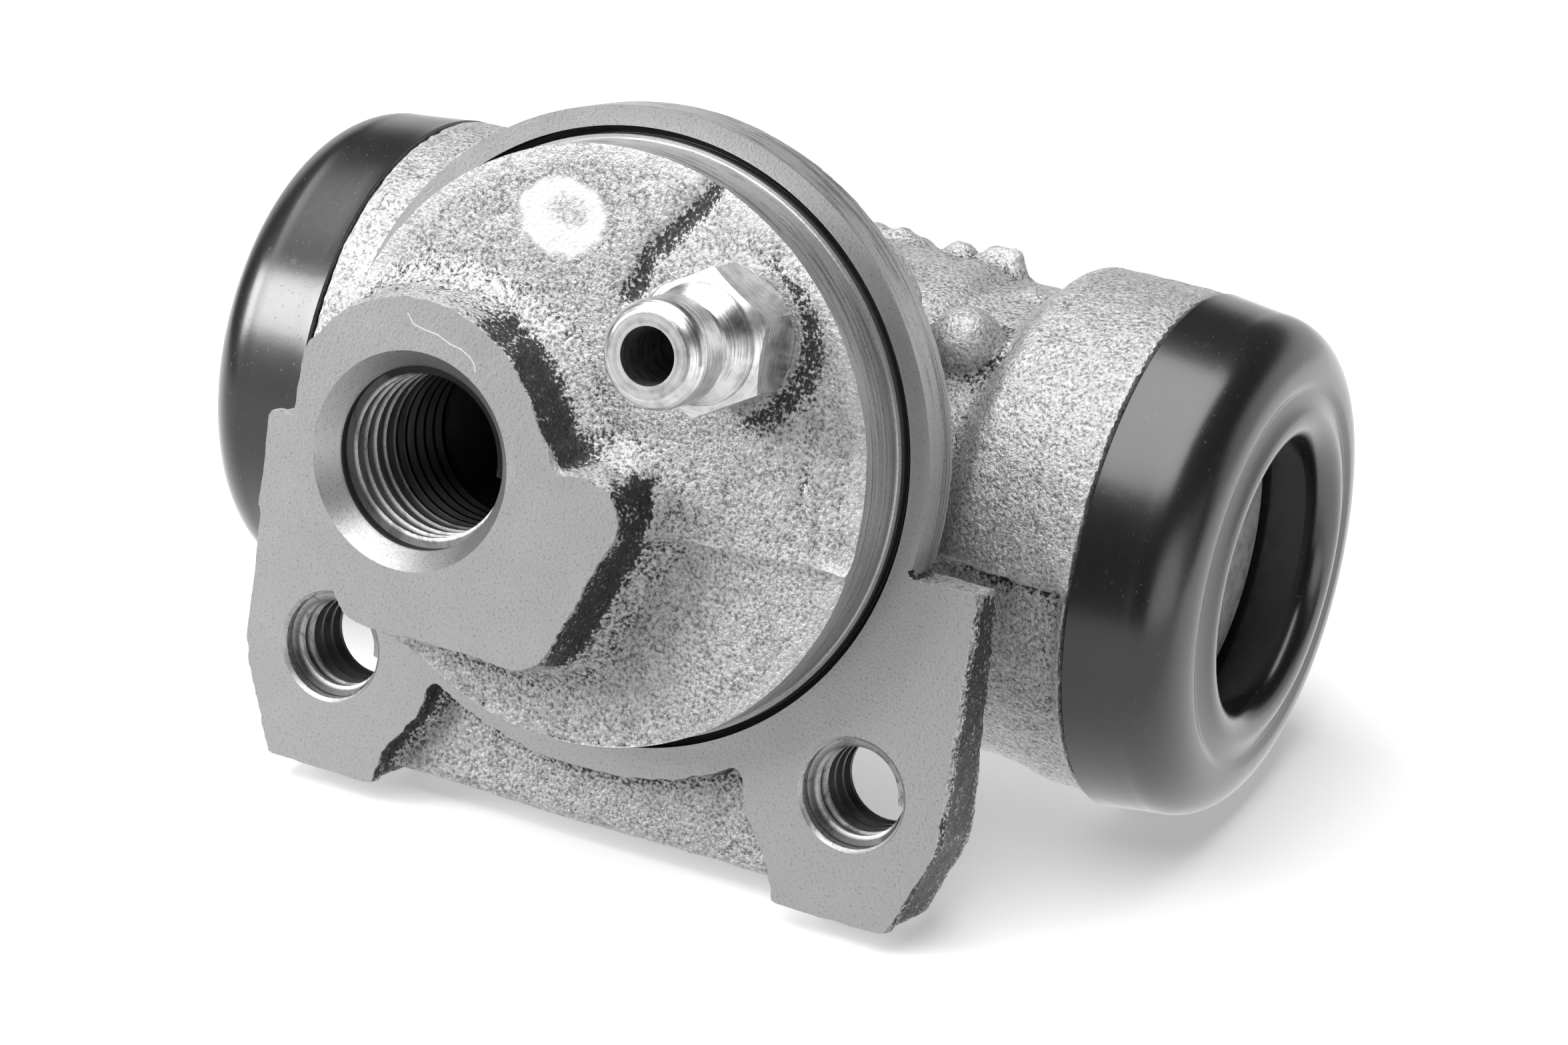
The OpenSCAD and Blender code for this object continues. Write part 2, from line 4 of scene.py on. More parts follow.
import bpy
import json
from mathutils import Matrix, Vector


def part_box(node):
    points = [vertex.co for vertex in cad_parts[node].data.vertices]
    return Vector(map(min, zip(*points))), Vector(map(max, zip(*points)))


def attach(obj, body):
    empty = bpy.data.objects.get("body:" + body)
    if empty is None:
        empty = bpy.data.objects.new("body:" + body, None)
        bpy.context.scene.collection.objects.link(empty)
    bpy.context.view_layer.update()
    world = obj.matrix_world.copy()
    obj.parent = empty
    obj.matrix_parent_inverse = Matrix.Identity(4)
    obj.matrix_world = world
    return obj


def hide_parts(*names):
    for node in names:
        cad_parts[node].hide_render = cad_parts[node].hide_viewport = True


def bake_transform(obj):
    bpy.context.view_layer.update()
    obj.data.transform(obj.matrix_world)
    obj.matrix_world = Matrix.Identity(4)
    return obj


bl_info = {
    "name": "Wheel cylinder",
    "version": (1, 0, 0),
    "blender": (4, 5, 0),
    "location": "View3D > Sidebar > Wheel cylinder",
    "description": "Dresses the solids of a wheel cylinder with cast, turned and moulded finishes",
    "category": "Object",
}

import json
import math

import bmesh
import bpy
import numpy as np
from bpy.props import FloatProperty, FloatVectorProperty, PointerProperty
from bpy.types import Operator, Panel, PropertyGroup
from mathutils import Matrix, Vector, noise

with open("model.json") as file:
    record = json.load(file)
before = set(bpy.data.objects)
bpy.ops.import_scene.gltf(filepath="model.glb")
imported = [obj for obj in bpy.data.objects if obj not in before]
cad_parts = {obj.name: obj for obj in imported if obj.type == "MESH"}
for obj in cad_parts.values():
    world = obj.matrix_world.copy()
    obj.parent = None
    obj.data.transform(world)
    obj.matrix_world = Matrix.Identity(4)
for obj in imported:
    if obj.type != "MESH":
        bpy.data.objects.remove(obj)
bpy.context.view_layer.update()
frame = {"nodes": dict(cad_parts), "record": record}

MM = 0.001
WELD = 1e-7
SIDES = {"left": -1, "right": 1}
AHEAD = Vector((0, -1, 0))
UP = Vector((0, 0, 1))
MOUNTS = {mount["name"]: mount for mount in frame["record"]["mounts"]}


def beside(name):
    """Where a mount's axis meets the mounting face."""
    x, _, z = MOUNTS[name]["pos_m"]
    return Vector((x, 0, z))


SEAT_X, BORE_Y, BORE_Z = MOUNTS["shoe_seat_right"]["pos_m"]
BORE = Vector((0, BORE_Y, BORE_Z))
PILOT = Vector((0, 0, 0))
PORT = beside("inlet_port")
SCREW = beside("bleed_nipple")
HOLE_SPACING = MOUNTS["mounting_holes"]["dims"]["spacing_x_mm"] * MM
HOLES = {
    side: beside("mounting_holes") + Vector((sign * HOLE_SPACING / 2, 0, 0))
    for side, sign in SIDES.items()
}
# Radii in millimetres
PILOT_R = MOUNTS["pilot"]["dims"]["r_mm"]
PORT_CORE_R = MOUNTS["inlet_port"]["dims"]["r_mm"]
HOLE_CORE_R = MOUNTS["mounting_holes"]["dims"]["hole_r_mm"]
# Steps round pieces that are turned square to the mounting face, and about the bore
FACE_SEGMENTS = 96
BORE_SEGMENTS = 128

# Relief of the sand: rise in millimetres, and features a millimetre
SAND = [(0.09, 0.23), (0.06, 0.75), (0.045, 1.7)]
# Parting line of the pilot face: a point of it (x and z in millimetres) and its slope
LINE_X, LINE_Z, LINE_SLOPE = 4.3, -3.63, 0.04
# The pilot face falls away from that line by these slopes, with a step below it and a ridge along it
UPPER_DRAFT, LOWER_DRAFT = 0.015, 0.03
LINE_STEP, RIDGE_RISE, RIDGE_WIDTH = 0.1, 0.14, 0.25
# Seam between the halves of the mould, and the step below it at the collars
SEAM_RISE, SEAM_WIDTH, COLLAR_STEP = 0.1, 0.35, 0.55
# The boss flanks are rougher than the rest by this much
FLANK_ROUGH = 2.4
# Marks of the mould on the pilot face: points (x and z), depth and width in millimetres; the first is
# the crease above the bleed screw
SCARS = [
    ([(1.1, 8.8), (1.9, 11.0), (3.4, 12.8), (4.8, 14.9)], 0.3, 0.6),
    ([(12.6, 4.2), (12.7, -0.2)], 0.14, 0.3),
    ([(13.2, 4.6), (13.5, -2.6)], -0.14, 0.3),
    ([(14.6, 3.0), (15.7, -2.6)], 0.16, 0.3),
    ([(4.5, -0.6), (4.6, -2.9)], 0.2, 0.3),
]
# Cast lumps: place, rise and size in millimetres; the last is a nick in the edge over the web
LUMPS = [
    (1.6, 23.2, 9.8, 0.45, 1.3), (3.4, 23.2, 9.8, 0.55, 1.3), (5.0, 23.3, 9.8, 0.5, 1.2),
    (8.1, 23.0, 9.9, 0.75, 0.95), (10.4, 23.2, 9.8, 1.0, 1.1), (11.8, 22.9, 9.8, 0.8, 0.85),
    (14.4, 19.3, 9.6, 0.3, 0.9), (3.3, -1.0, -18.4, -0.7, 0.7),
]
# The round lobe of the boss: angles about the inlet in degrees, and moves outwards in millimetres
BOSS_ANGLES = [13, 25, 45, 69, 102, 140]
BOSS_MOVES = [0, -0.3, -0.3, 0.08, 0.3, 0.1]
# Move of the ears' sides, which makes up for the softened skin
EAR_MOVE = 0.15

# Point attribute of the casting that tells its finish where shade is painted
PAINTED_SHADE_DEPTH = "hollows"
# Painted shade beside that of the hollows themselves, in millimetres of depth: on flanks turned to the
# right, on the boss's upper flanks, in the crease and as the bleed screw's shadow
FLANK_SHADE, TOP_SHADE, CREASE_SHADE, SCREW_SHADOW = 0.36, 0.08, 0.2, 0.28
# Middle of the paint mark on the pilot face: x and z in millimetres
CHALK_X, CHALK_Z = -3.65, 11.95
# Scratch across the boss face: points (x and z), half width and colour
SCRATCH = [
    (-9.86, 5.69), (-9.42, 5.2), (-8.75, 5.05), (-7.9, 4.95), (-7.04, 4.61), (-6.4, 4.5), (-5.8, 4.2),
    (-5.5, 3.9), (-5.35, 3.5),
]
SCRATCH_WIDTH = 0.05
SCRATCH_TONE = (0.95, 0.95, 0.95, 1)
# Dust on the rubber, and the floor's paler patches
DUST_TONE = (0.16, 0.16, 0.16, 1)
FLOOR_LIGHT_TONE = (0.9, 0.9, 0.9, 1)

# Soft boxes: place and size in millimetres, and power in watts
LAMPS = [
    ("top", (-60, -110, 290), (380, 420), 2.1),
    ("key", (-440, -345, 150), (240, 240), 2.4),
    ("front", (-300, -420, -140), (420, 260), 0.24),
]


def length(name, description, millimetres):
    """A size that a user may change, given in millimetres."""
    return FloatProperty(
        name=name, description=description, default=millimetres * MM, unit="LENGTH", precision=5
    )


def colour(name, description, grey):
    """A colour that a user may change, given as a grey."""
    return FloatVectorProperty(
        name=name, description=description, default=(grey, grey, grey, 1), subtype="COLOR", size=4,
        min=0, max=1,
    )


def turn(name, description, degrees):
    """An angle that a user may change, given in degrees."""
    return FloatProperty(
        name=name, description=description, default=math.radians(degrees), subtype="ANGLE"
    )


class CastingSettings(PropertyGroup):
    """Sizes and colours of the iron casting."""

    voxel: length("Skin detail", "Edge length of the skin's mesh", 0.33)
    allowance: length("Machining allowance", "Metal left on a face before it is machined", 0.45)
    pilot_r: length("Pilot radius", "Turned side of the pilot", PILOT_R)
    land_r: length("Land radius", "Turned land at the foot of the pilot", PILOT_R + 0.25)
    land_h: length("Land height", "Height of the land ahead of the mounting face", 0.15)
    groove_r: length("Groove radius", "Outer wall of the relief groove", PILOT_R + 0.7)
    groove_depth: length("Groove depth", "Depth of the relief groove", 0.8)
    rim_r: length("Rim radius", "Turned side of the flange rim", PILOT_R + 1.8)
    rim_t: length("Rim thickness", "Turned width of the flange rim", 3.3)
    ear_top: length("Ear top", "Height of the ears' upper sides beside the pilot axis", BORE_Z / MM)
    pilot_h: length("Pilot height", "Height of the cast pilot face", 4.1)
    boss_h: length("Boss height", "Height of the machined boss face", 8)
    port_mouth_r: length("Inlet mouth", "Radius of the countersunk inlet", 6.15)
    port_r: length("Inlet thread", "Major radius of the inlet thread", PORT_CORE_R + 0.52)
    port_sink: length("Inlet countersink", "Depth of the inlet's countersink above the thread", 1.3)
    port_depth: length("Inlet depth", "Depth of the inlet below the boss face", 12.5)
    hole_mouth_r: length("Hole mouth", "Radius of the countersunk mounting holes", 3.2)
    hole_r: length("Hole thread", "Major radius of the mounting threads", HOLE_CORE_R + 0.5)
    hole_len: length("Hole length", "Length of the mounting holes", 6.2)
    bleed_r: length("Bleed hole", "Radius of the bleed screw hole", 3.05)
    bore_r: length("Bore radius", "Radius of the cylinder bore", 10.32)
    mouth_r: length("Bore mouth", "Radius of the bore's chamfered mouth", 11.82)
    spigot_r: length("Spigot radius", "Radius of the spigot inside a boot", 13.2)
    shoulder_x: length("Shoulder", "Distance of the collar shoulders from the middle", 24.3)
    barrel_half: length("Barrel", "Half length of the barrel", 26)
    skin_tone: colour("Cast skin", "Mean colour of the cast skin", 0.46)
    pit_tone: colour("Pits", "Colour in the pits of the cast skin", 0.17)
    grain_tone: colour("Grains", "Colour of the bright grains", 0.68)
    cut_tone: colour("Machined iron", "Colour of the machined faces", 0.5)
    # Painted shade: the colour laid where shade falls, in hollows, grooves, deep holes and on flanks
    # turned from the light
    painted_shade_tone: colour("Soot", "Colour in hollows, grooves and deep holes", 0.02)
    chalk_tone: colour("Chalk", "Colour of the paint mark", 0.9)


class BootSettings(PropertyGroup):
    """Sizes and colours of the rubber boots."""

    band_r: length("Band", "Outer radius of the band at the collar", 14.8)
    band_in: length("Band inside", "Inner radius of the band", 13.28)
    band_x: length("Band start", "Distance of the band's edge from the middle", 24.35)
    taper: length("Taper", "Taper of the band on the radius", 0.4)
    face_x: length("Face", "Distance of the boot face from the middle", 30.6)
    round: length("Shoulder round", "Radius of the front shoulder", 3.1)
    mouth_r: length("Mouth", "Radius of the mouth", 7.8)
    bead_r: length("Bead", "Radius of the rolled bead", 1.25)
    bead_rise: length("Bead rise", "Rise of the bead above the face", 0.3)
    wall: length("Wall", "Thickness of the front wall", 2.2)
    sleeve_t: length("Sleeve", "Thickness of the inner sleeve", 1.3)
    nose_r: length("Nose", "Radius of the piston's nose", 9.57)
    lip_r: length("Lip", "Radius of the lip in the piston's groove", 8.97)
    tone: colour("Rubber", "Colour of the rubber", 0.012)


class SpringSettings(PropertyGroup):
    """Sizes of the return spring."""

    wire: length("Wire", "Thickness of the wire", 1.2)
    turns: FloatProperty(name="Turns", description="Number of turns", default=6, min=2, max=10)


class StageSettings(PropertyGroup):
    """Camera, floor and light."""

    eye: FloatVectorProperty(
        name="Camera", description="Place of the camera", subtype="TRANSLATION", unit="LENGTH",
        default=(113.023 * MM, -226.440 * MM, 55.786 * MM), precision=5,
    )
    azimuth: turn("Azimuth", "Turn of the camera about the vertical", 24.4433)
    elevation: turn("Elevation", "Camera's look downwards", 13.1351)
    roll: turn("Roll", "Roll of the camera", 8.7582)
    view: turn("View", "Width of the camera's view", 18.617)
    lean: turn("Lean", "Slope of the floor under the leaning part", 15.0)
    floor_r: length("Floor", "Radius of the floor", 160)
    floor_tone: colour("Floor", "Colour of the floor", 0.86)
    bounce_tone: colour("Bounce", "Colour that the floor throws back at the part", 0.25)


class Socket:
    """An output of a node. Arithmetic on it adds Math nodes."""

    def __init__(self, finish, out):
        self.finish = finish
        self.out = out

    def math(self, operation, *values):
        """A Math node on these values; self takes part only if it is among them."""
        return self.finish.node("ShaderNodeMath", {"operation": operation}, dict(enumerate(values)))

    def __add__(self, other):
        return self.math("ADD", self, other)

    __radd__ = __add__

    def __mul__(self, other):
        return self.math("MULTIPLY", self, other)

    __rmul__ = __mul__

    def __sub__(self, other):
        return self.math("SUBTRACT", self, other)

    def __rsub__(self, other):
        return self.math("SUBTRACT", other, self)

    def __truediv__(self, other):
        return self.math("DIVIDE", self, other)

    def __pow__(self, other):
        return self.math("POWER", self, other)

    def above(self, low, high):
        """0 below low, 1 above high and smooth between them; low may lie above high."""
        ranges = {"From Min": low, "From Max": high, "Value": self}
        return self.finish.node("ShaderNodeMapRange", {"interpolation_type": "SMOOTHSTEP"}, ranges)

    def within(self, low, high):
        """The value kept between two limits."""
        return self.math("MINIMUM", self.math("MAXIMUM", self, low), high)


class Finish:
    """A procedural material under construction."""

    def __init__(self, name, kind="materials"):
        self.material = getattr(bpy.data, kind).new(name)
        self.material.use_nodes = True
        self.tree = self.material.node_tree
        self.tree.nodes.clear()
        self.place = self.node("ShaderNodeTexCoord", output="Object")
        scaled = {0: self.place, "Scale": 1 / MM}
        self.mm = self.node("ShaderNodeVectorMath", {"operation": "SCALE"}, scaled)
        self.x, self.y, self.z = self.parts(self.mm)

    def node(self, kind, settings=None, inputs=None, output=0):
        """Any node: settings first, then values or links of its sockets."""
        made = self.tree.nodes.new(kind)
        for key, value in (settings or {}).items():
            setattr(made, key, value)
        for key, value in (inputs or {}).items():
            if isinstance(value, Socket):
                self.tree.links.new(value.out, made.inputs[key])
            else:
                made.inputs[key].default_value = value
        return Socket(self, made.outputs[output]) if made.outputs else None

    def parts(self, vector):
        """The three parts of a vector."""
        return [self.node("ShaderNodeSeparateXYZ", None, {0: vector}, axis) for axis in "XYZ"]

    def rays(self):
        """Whether a ray comes from the camera, and whether it is a reflection."""
        kinds = ("Is Camera Ray", "Is Glossy Ray")
        return [self.node("ShaderNodeLightPath", output=kind) for kind in kinds]

    def noise(self, scale, detail, roughness, vector=None):
        """Noise with about this many features a millimetre."""
        place = vector or self.mm
        values = {"Vector": place, "Scale": scale, "Detail": detail, "Roughness": roughness}
        return self.node("ShaderNodeTexNoise", None, values)

    def cells(self, scale):
        """Distance to the centres of cells, this many a millimetre."""
        return self.node("ShaderNodeTexVoronoi", None, {"Vector": self.mm, "Scale": scale})

    def mix(self, low, high, factor):
        """A colour between two colours."""
        return self.node("ShaderNodeMix", {"data_type": "RGBA"}, {0: factor, 6: low, 7: high}, 2)

    def radius(self, centre, bore=False):
        """Distance in millimetres from a line through a centre, along Y or along the bore."""
        across = self.y - centre.y / MM if bore else self.x - centre.x / MM
        return (across**2 + (self.z - centre.z / MM) ** 2) ** 0.5

    def stroke(self, points, width):
        """1 on a line through points (x, z in millimetres) of a face, 0 beside it."""
        line = 0
        for (x0, z0), (x1, z1) in zip(points, points[1:]):
            run_x, run_z = x1 - x0, z1 - z0
            run = run_x**2 + run_z**2
            across, up = self.x - x0, self.z - z0
            t = (across * (run_x / run) + up * (run_z / run)).within(0, 1)
            gap = (across - t * run_x) ** 2 + (up - t * run_z) ** 2
            line = line + gap.above(width**2, 0)
        return line.within(0, 1)

    def bump(self, height, depth, strength):
        """A normal bent by a height of 0 to 1 that stands for a depth in millimetres."""
        inputs = {"Strength": strength, "Distance": depth * MM, "Height": height}
        return self.node("ShaderNodeBump", None, inputs)

    def done(self, **inputs):
        """Closes the material with a Principled shader."""
        sockets = {
            key.replace("_", " ").title().replace("Ior", "IOR"): value for key, value in inputs.items()
        }
        shader = self.node("ShaderNodeBsdfPrincipled", None, sockets)
        self.node("ShaderNodeOutputMaterial", None, {"Surface": shader})
        return self.material


def cast_skin_finish(s):
    """Shot-blasted grey iron: bright and dark grains, painted shade in hollows and on flanks turned from
    the light, broken up by the grains, edges that are rubbed bright and a paint mark."""
    f = Finish("cast_skin")
    grain = f.noise(4.8, 3, 0.65)
    coarse = f.noise(0.8, 3, 0.6)
    pits = f.cells(2.6)
    depth = f.node("ShaderNodeAttribute", {"attribute_name": PAINTED_SHADE_DEPTH}, output="Fac")
    speck = (grain * 0.85 + coarse * 0.15).above(0.3, 0.7)
    tone = f.mix(s.pit_tone, s.skin_tone, speck.above(0.0, 0.5))
    tone = f.mix(tone, s.grain_tone, speck.above(0.5, 1.0))
    # Painted shade where the attribute marks it, broken up by the grains
    patchy = (0.5 - grain) * (depth.within(0, 0.25) * 6 + 0.6) + (coarse - 0.5) * 0.4
    painted_shade = (depth * 1.6 + patchy).above(0.1, 0.4)
    tone = f.mix(tone, s.painted_shade_tone, painted_shade * 0.93)
    rubbed = depth.above(-0.05, -0.2)
    tone = f.mix(tone, s.grain_tone, rubbed * 0.4)
    chalk = chalk_mark(f)
    tone = f.mix(tone, s.chalk_tone, chalk)
    height = grain * 0.8 + (1 - pits) * 0.2
    return f.done(
        base_color=tone,
        metallic=0.65 - chalk * 0.65,
        roughness=0.42 + coarse * 0.1 + chalk * 0.3,
        normal=f.bump(height, 0.2, 0.8),
    )


def chalk_mark(f):
    """Mask of the smudged ring of paint on the upper pilot face."""
    wobble = f.noise(1.2, 3, 0.6) * 0.9 - 0.45
    right, up = f.x - CHALK_X, f.z - CHALK_Z
    outer = ((right / 2.6) ** 2 + (up / 2.1) ** 2) ** 0.5 + wobble * 0.5
    inner = (((right - 0.2) / 1.5) ** 2 + ((up - 0.3) / 1.0) ** 2) ** 0.5 + wobble * 1.3
    thin = f.noise(3.0, 3, 0.7).above(0.25, 0.45)
    front = f.y.above(-3.0, -3.5) * f.y.above(-5.4, -4.8)
    ring = outer.above(1.08, 0.9) * (inner.above(0.55, 1.1) * 0.7 + 0.3)
    return ring * (thin * 0.4 + 0.6) * front


def machined_finish(s, name, lines, depth, roughness, painted_shade=None):
    """Iron turned about the pilot axis: fine rings, deepest on its sides, faint smears, grain and a
    scratch. The painted-shade function takes the finish and gives a mask of where shade is painted."""
    f = Finish(name)
    rings = {"X": f.radius(PILOT) * lines, "Y": f.y * lines, "Z": f.x * 0.25}
    fine = f.noise(1.0, 3, 0.7, f.node("ShaderNodeCombineXYZ", None, rings))
    smear = f.noise(0.35, 3, 0.6)
    grain = f.noise(6.0, 2, 0.6)
    side = f.y.above(0.05, 0.2) + f.y.above(-0.1, -0.3) * f.y.above(-7, -6)
    lines_seen = fine * (side * 0.8 + 0.2)
    bright = (smear * 0.5 + lines_seen * 0.5).above(0.3, 0.7)
    dark = fine.above(0.48, 0.64) * side * 0.7 + grain.above(0.52, 0.75) * 0.5
    scratch = f.stroke(SCRATCH, SCRATCH_WIDTH) * f.y.above(-7.5, -7.8)
    tone = f.mix(s.cut_tone, s.grain_tone, bright * 0.35)
    tone = f.mix(tone, s.pit_tone, dark)
    tone = f.mix(tone, SCRATCH_TONE, scratch)
    # Painted shade where the mask marks it
    if painted_shade:
        tone = f.mix(tone, s.painted_shade_tone, painted_shade(f))
    return f.done(
        base_color=tone,
        metallic=0.9,
        roughness=roughness + smear * 0.14 + side * 0.12,
        normal=f.bump(lines_seen + grain * 0.25, depth, 0.6),
    )


def groove_shade(f):
    """Painted shade in the relief groove round the pilot."""
    ring = f.radius(PILOT)
    return ring.above(16.5, 16.6) * ring.above(17.15, 17.05) * f.y.above(0.02, 0.35)


def inlet_shade(f):
    """Painted shade in the depth of the inlet, on its upper right wall and in the roots of its thread.
    """
    below = f.y.above(-6.9, -6.4)
    deep = (f.y + f.noise(0.6, 2, 0.5)).above(-3.8, 0.4)
    root = f.radius(PORT).above(PORT_CORE_R + 0.06, PORT_CORE_R + 0.22) * 0.85
    shade = ((f.x - PORT.x / MM) * 0.6 + (f.z - PORT.z / MM) * 0.8).above(0.8, 3.4)
    return (deep + (root + shade) * below).within(0, 0.97)


def hole_shade(f):
    """Painted shade in the depth of the two mounting holes, on their upper right walls and in the roots
    of their threads.
    """
    middle = HOLE_SPACING / MM / 2
    across = f.x - (f.x.above(-0.1, 0.1) * 2 - 1) * middle
    up = f.z - HOLES["right"].z / MM
    root = ((across**2 + up**2) ** 0.5).above(HOLE_CORE_R + 0.06, HOLE_CORE_R + 0.25) * 0.85
    shade = (across * 0.7 + up * 0.7).above(-0.8, 1.2)
    deep = (f.y + f.noise(0.6, 2, 0.5)).above(2.2, 3.8)
    return (root + shade + deep).within(0, 0.95) * f.y.above(0.6, 1.0)


def rubber_finish(s, name, roughness):
    """Moulded black rubber: smooth, with faint smudges, dust specks and fine scuffs."""
    f = Finish(name)
    smudge = f.noise(0.22, 3, 0.6)
    dust = f.noise(4.5, 2, 0.5).above(0.69, 0.76)
    scuff = f.noise(1.6, 4, 0.7).above(0.6, 0.75)
    height = smudge * 0.5 + dust * 0.3 + f.noise(2.0, 2, 0.5) * 0.2
    return f.done(
        base_color=f.mix(s.tone, DUST_TONE, dust * 0.5 + scuff * 0.05),
        roughness=roughness + smudge * 0.12 + scuff * 0.08,
        normal=f.bump(height, 0.05, 0.3),
        specular_ior_level=0.9,
    )


def plated_finish(name, grey, roughness, centre, bore=True, metallic=1.0):
    """Plated or drawn metal with turning marks about an axis."""
    f = Finish(name)
    lines = 6
    run = f.x if bore else f.y
    rings = {"X": f.radius(centre, bore) * lines, "Y": run * lines}
    fine = f.noise(1.0, 2, 0.6, f.node("ShaderNodeCombineXYZ", None, rings))
    spots = f.noise(1.2, 3, 0.65)
    low, high = ((tone, tone, tone, 1) for tone in (grey * 0.55, grey))
    return f.done(
        base_color=f.mix(low, high, (spots * 0.6 + fine * 0.4).above(0.3, 0.6)),
        metallic=metallic,
        roughness=roughness + spots * 0.12,
        normal=f.bump(fine, 0.05, 0.5),
    )


def mesh_object(name, bm, *finishes):
    """A new object from a bmesh, with its materials."""
    mesh = bpy.data.meshes.new(name)
    bm.to_mesh(mesh)
    bm.free()
    for finish in finishes:
        mesh.materials.append(finish)
    made = bpy.data.objects.new(name, mesh)
    bpy.context.scene.collection.objects.link(made)
    return made


def turned(outline, origin, axis, out, segments):
    """Solid turned about an axis. Outline points are (radius, height along the axis); an outline
    that starts and ends on the axis is a body, and any other is closed to a ring."""
    bm = bmesh.new()
    places = [origin + out * r + axis * h for r, h in outline]
    points = [bm.verts.new(place) for place in places]
    pairs = list(zip(points, points[1:]))
    if outline[0][0] > 0 or outline[-1][0] > 0:
        pairs.append((points[-1], points[0]))
    edges = [bm.edges.new(pair) for pair in pairs]
    bmesh.ops.spin(
        bm, geom=points + edges, cent=origin, axis=axis, angle=math.tau, steps=segments, use_merge=True,
    )
    bmesh.ops.remove_doubles(bm, verts=bm.verts, dist=WELD)
    bmesh.ops.recalc_face_normals(bm, faces=bm.faces)
    return bm


def on_face(outline, centre=PILOT, segments=FACE_SEGMENTS):
    """Turned about an axis square to the mounting face; heights count ahead of it."""
    return turned(outline, centre, AHEAD, Vector((1, 0, 0)), segments)


def over_ears(radius, low, far, near, back, steps=120):
    """Tool that leaves a round of the pilot axis standing above a level, from ahead of the mounting
    face to behind it."""
    bm = bmesh.new()
    start = math.asin(low / radius)
    angles = [start + (math.pi - 2 * start) * i / steps for i in range(steps + 1)]
    rim = [(radius * math.cos(a), radius * math.sin(a)) for a in angles]
    corners = [(-far, low), (-far, far), (far, far), (far, low)]
    face = bm.faces.new([bm.verts.new((x, -near, z)) for x, z in rim + corners])
    deep = bmesh.ops.extrude_face_region(bm, geom=[face])["geom"]
    moved = [part for part in deep if isinstance(part, bmesh.types.BMVert)]
    bmesh.ops.translate(bm, verts=moved, vec=(0, near + back, 0))
    bmesh.ops.recalc_face_normals(bm, faces=bm.faces)
    return bm


def on_bore(outline, side=1):
    """Turned about the bore axis; heights count from the middle towards one end."""
    return turned(outline, BORE, Vector((side, 0, 0)), UP, BORE_SEGMENTS)


def arc(cx, cy, r, start, end, steps):
    """Points of an arc about (cx, cy), angles in degrees."""
    angles = [math.radians(start + (end - start) * i / steps) for i in range(steps + 1)]
    return [(cx + r * math.cos(a), cy + r * math.sin(a)) for a in angles]


def applied(obj):
    """Turns an object's modifiers into its mesh."""
    bpy.context.view_layer.update()
    graph = bpy.context.evaluated_depsgraph_get()
    old = obj.data
    mesh = bpy.data.meshes.new_from_object(obj.evaluated_get(graph), depsgraph=graph)
    obj.modifiers.clear()
    obj.data = mesh
    bpy.data.meshes.remove(old)
    mesh.name = obj.name


def combined(obj, tool, operation="DIFFERENCE"):
    """Cuts a tool from a solid, or joins it on."""
    change = obj.modifiers.new("shape", "BOOLEAN")
    change.operation = operation
    change.solver = "MANIFOLD"
    change.object = tool
    change.material_mode = "TRANSFER"
    before = sum(face.area for face in obj.data.polygons)
    applied(obj)
    after = sum(face.area for face in obj.data.polygons)
    if after == 0 or abs(after - before) < MM**2 / 100:
        raise RuntimeError(f"{tool.name} changed nothing on {obj.name}")
    bpy.data.objects.remove(tool)


def ramp(values, low, high):
    """0 at low, 1 at high and straight between them; low may lie above high."""
    return np.clip((values - low) / (high - low), 0, 1)


def vectors(mesh, key):
    """A vector of every vertex, as rows."""
    rows = np.empty(len(mesh.vertices) * 3)
    mesh.vertices.foreach_get(key, rows)
    return rows.reshape(-1, 3)


def shaded(obj, degrees=35):
    """Smooth shading with the edges over an angle kept sharp."""
    mesh = obj.data
    mesh.polygons.foreach_set("use_smooth", np.ones(len(mesh.polygons), bool))
    mesh.set_sharp_from_angle(angle=math.radians(degrees))
    mesh.update()


def finished(obj, finish):
    """Gives an object one finish in place of those that it has."""
    obj.data.materials.clear()
    obj.data.materials.append(finish)


def stood_for(obj, body, slot, *nodes):
    """A piece that rides on a body, in place of the solids that are named."""
    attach(obj, body)
    if nodes:
        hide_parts(*nodes)


